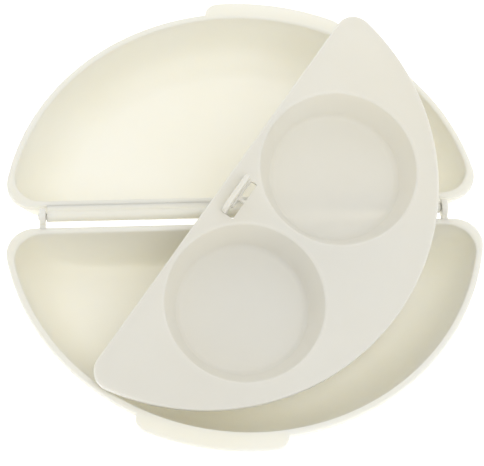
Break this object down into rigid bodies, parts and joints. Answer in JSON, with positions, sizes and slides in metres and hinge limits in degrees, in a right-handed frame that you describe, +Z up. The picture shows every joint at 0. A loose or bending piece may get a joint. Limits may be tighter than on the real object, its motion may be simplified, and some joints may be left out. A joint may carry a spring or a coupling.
{
  "type": "microwave omelette pan with egg poacher insert",
  "caption": "Half-round hinged microwave omelette pan, lying open, with a removable egg poacher insert across it.",
  "frame": {"origin": "middle of the hinge line, on the surface the open pan stands on", "axes": "+X along the hinge, +Y from the base pan to the lid pan, +Z up"},
  "size_m": [0.2224, 0.238, 0.0655],
  "materials": {
    "ivory_pan": "semi-gloss moulded ivory polypropylene",
    "ivory_insert": "satin moulded off-white polypropylene"
  },
  "bodies": {
    "base": {"base_pan": "ivory_pan", "base_tab": "ivory_pan", "left_hinge_arm": "ivory_pan", "right_hinge_arm": "ivory_pan"},
    "lid": {"lid_pan": "ivory_pan", "lid_tab": "ivory_pan", "lid_hinge_barrel": "ivory_pan"},
    "insert": {"insert_plate": "ivory_insert", "near_egg_cup": "ivory_insert", "far_egg_cup": "ivory_insert", "insert_grip": "ivory_insert"}
  },
  "joints": [
    {"name": "lid_hinge", "type": "hinge", "parent": "base", "child": "lid", "pos_m": [0, 0, 0.02515], "axis": [1, 0, 0], "range_deg": [0, 180]},
    {"name": "insert_lift", "type": "slide", "parent": "base", "child": "insert", "axis": [0, 0, 1], "range_m": [0, 0.35]}
  ],
  "couplings": [
    {"joint": "insert_lift", "follows": "lid_hinge", "m_per_rad": 0.1}
  ]
}
